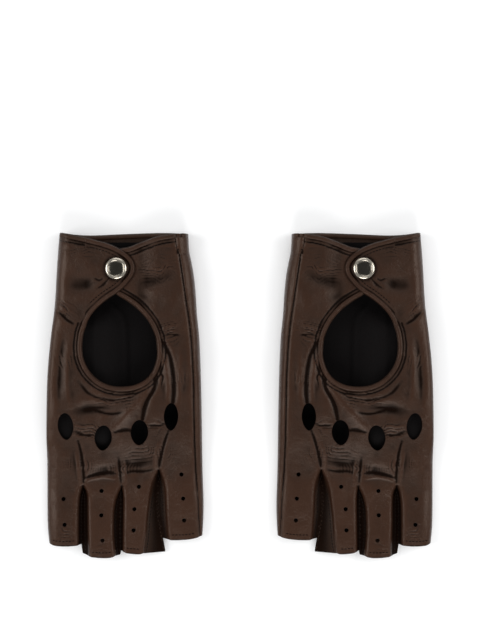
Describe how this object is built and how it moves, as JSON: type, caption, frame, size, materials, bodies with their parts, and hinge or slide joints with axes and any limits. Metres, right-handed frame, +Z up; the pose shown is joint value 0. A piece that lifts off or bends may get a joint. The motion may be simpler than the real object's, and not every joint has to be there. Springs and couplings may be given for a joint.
{
  "type": "leather driving gloves",
  "caption": "Pair of fingerless leather driving gloves with a drop-shaped wrist opening, knuckle holes, vented finger stalls and a snap tab.",
  "frame": {"origin": "on the supporting surface, under the middle of the pair's bounding box", "axes": "+Z up through the backs of the gloves, +X from the left glove to the right glove, +Y from the fingers to the cuffs"},
  "size_m": [0.22, 0.185, 0.0181],
  "materials": {
    "outer_leather": "smooth dark brown nappa, soft sheen",
    "binding_leather": "dark brown rolled edge binding",
    "lining": "matt black lining",
    "snap_metal": "polished"
  },
  "bodies": {
    "left_hand": {"left_back_panel": "outer_leather", "left_palm_panel": "outer_leather", "left_palm_lining": "lining", "left_opening_binding": "binding_leather", "left_cuff_binding": "binding_leather", "left_cuff_side_patch": "outer_leather", "left_snap_stud": "snap_metal", "left_snap_post": "snap_metal"},
    "left_tab": {"left_wrist_tab": "outer_leather", "left_tab_facing": "lining", "left_tab_binding": "binding_leather", "left_snap_cap": "snap_metal", "left_snap_socket": "snap_metal"},
    "left_index_finger": {"left_index_stall": "outer_leather", "left_index_fourchette": "outer_leather"},
    "left_middle_finger": {"left_middle_back": "outer_leather", "left_middle_palm": "outer_leather", "left_middle_inner_fourchette": "outer_leather", "left_middle_outer_fourchette": "outer_leather"},
    "left_ring_finger": {"left_ring_back": "outer_leather", "left_ring_palm": "outer_leather", "left_ring_inner_fourchette": "outer_leather", "left_ring_outer_fourchette": "outer_leather"},
    "left_little_finger": {"left_little_back": "outer_leather", "left_little_palm": "outer_leather", "left_little_fourchette": "outer_leather"},
    "left_thumb": {"left_thumb_stall": "outer_leather", "left_thumb_gusset": "outer_leather"},
    "right_hand": {"right_back_panel": "outer_leather", "right_palm_panel": "outer_leather", "right_palm_lining": "lining", "right_opening_binding": "binding_leather", "right_cuff_binding": "binding_leather", "right_cuff_side_patch": "outer_leather", "right_snap_stud": "snap_metal", "right_snap_post": "snap_metal"},
    "right_tab": {"right_wrist_tab": "outer_leather", "right_tab_facing": "lining", "right_tab_binding": "binding_leather", "right_snap_cap": "snap_metal", "right_snap_socket": "snap_metal"},
    "right_index_finger": {"right_index_stall": "outer_leather", "right_index_fourchette": "outer_leather"},
    "right_middle_finger": {"right_middle_back": "outer_leather", "right_middle_palm": "outer_leather", "right_middle_inner_fourchette": "outer_leather", "right_middle_outer_fourchette": "outer_leather"},
    "right_ring_finger": {"right_ring_back": "outer_leather", "right_ring_palm": "outer_leather", "right_ring_inner_fourchette": "outer_leather", "right_ring_outer_fourchette": "outer_leather"},
    "right_little_finger": {"right_little_back": "outer_leather", "right_little_palm": "outer_leather", "right_little_fourchette": "outer_leather"},
    "right_thumb": {"right_thumb_stall": "outer_leather", "right_thumb_gusset": "outer_leather"}
  },
  "joints": [
    {"name": "left_tab_fold", "type": "hinge", "parent": "left_hand", "child": "left_tab", "pos_m": [-0.0873, 0.0894, 0.0151], "axis": [0, -1, 0], "range_deg": [0, 120]},
    {"name": "left_index_curl", "type": "hinge", "parent": "left_hand", "child": "left_index_finger", "pos_m": [-0.1008, -0.0574, 0.0045], "axis": [1, 0, 0], "range_deg": [-30, 40]},
    {"name": "left_middle_curl", "type": "hinge", "parent": "left_hand", "child": "left_middle_finger", "pos_m": [-0.08045, -0.0574, 0.0045], "axis": [1, 0, 0], "range_deg": [-30, 40]},
    {"name": "left_ring_curl", "type": "hinge", "parent": "left_hand", "child": "left_ring_finger", "pos_m": [-0.05675, -0.0574, 0.0045], "axis": [1, 0, 0], "range_deg": [-30, 40]},
    {"name": "left_little_curl", "type": "hinge", "parent": "left_hand", "child": "left_little_finger", "pos_m": [-0.03145, -0.0489, 0.0045], "axis": [1, 0, 0], "range_deg": [-30, 40]},
    {"name": "left_thumb_swing", "type": "hinge", "parent": "left_hand", "child": "left_thumb", "pos_m": [-0.0949, 0.0205, 0.00325], "axis": [0, 0, -1], "range_deg": [0, 45]},
    {"name": "gloves_apart", "type": "slide", "parent": "left_hand", "child": "right_hand", "axis": [1, 0, 0], "range_m": [0, 0.1]},
    {"name": "right_tab_fold", "type": "hinge", "parent": "right_hand", "child": "right_tab", "pos_m": [0.0873, 0.0894, 0.0151], "axis": [0, 1, 0], "range_deg": [0, 120]},
    {"name": "right_index_curl", "type": "hinge", "parent": "right_hand", "child": "right_index_finger", "pos_m": [0.1008, -0.0574, 0.0045], "axis": [1, 0, 0], "range_deg": [-30, 40]},
    {"name": "right_middle_curl", "type": "hinge", "parent": "right_hand", "child": "right_middle_finger", "pos_m": [0.08045, -0.0574, 0.0045], "axis": [1, 0, 0], "range_deg": [-30, 40]},
    {"name": "right_ring_curl", "type": "hinge", "parent": "right_hand", "child": "right_ring_finger", "pos_m": [0.05675, -0.0574, 0.0045], "axis": [1, 0, 0], "range_deg": [-30, 40]},
    {"name": "right_little_curl", "type": "hinge", "parent": "right_hand", "child": "right_little_finger", "pos_m": [0.03145, -0.0489, 0.0045], "axis": [1, 0, 0], "range_deg": [-30, 40]},
    {"name": "right_thumb_swing", "type": "hinge", "parent": "right_hand", "child": "right_thumb", "pos_m": [0.0949, 0.0205, 0.00325], "axis": [0, 0, 1], "range_deg": [0, 45]}
  ]
}
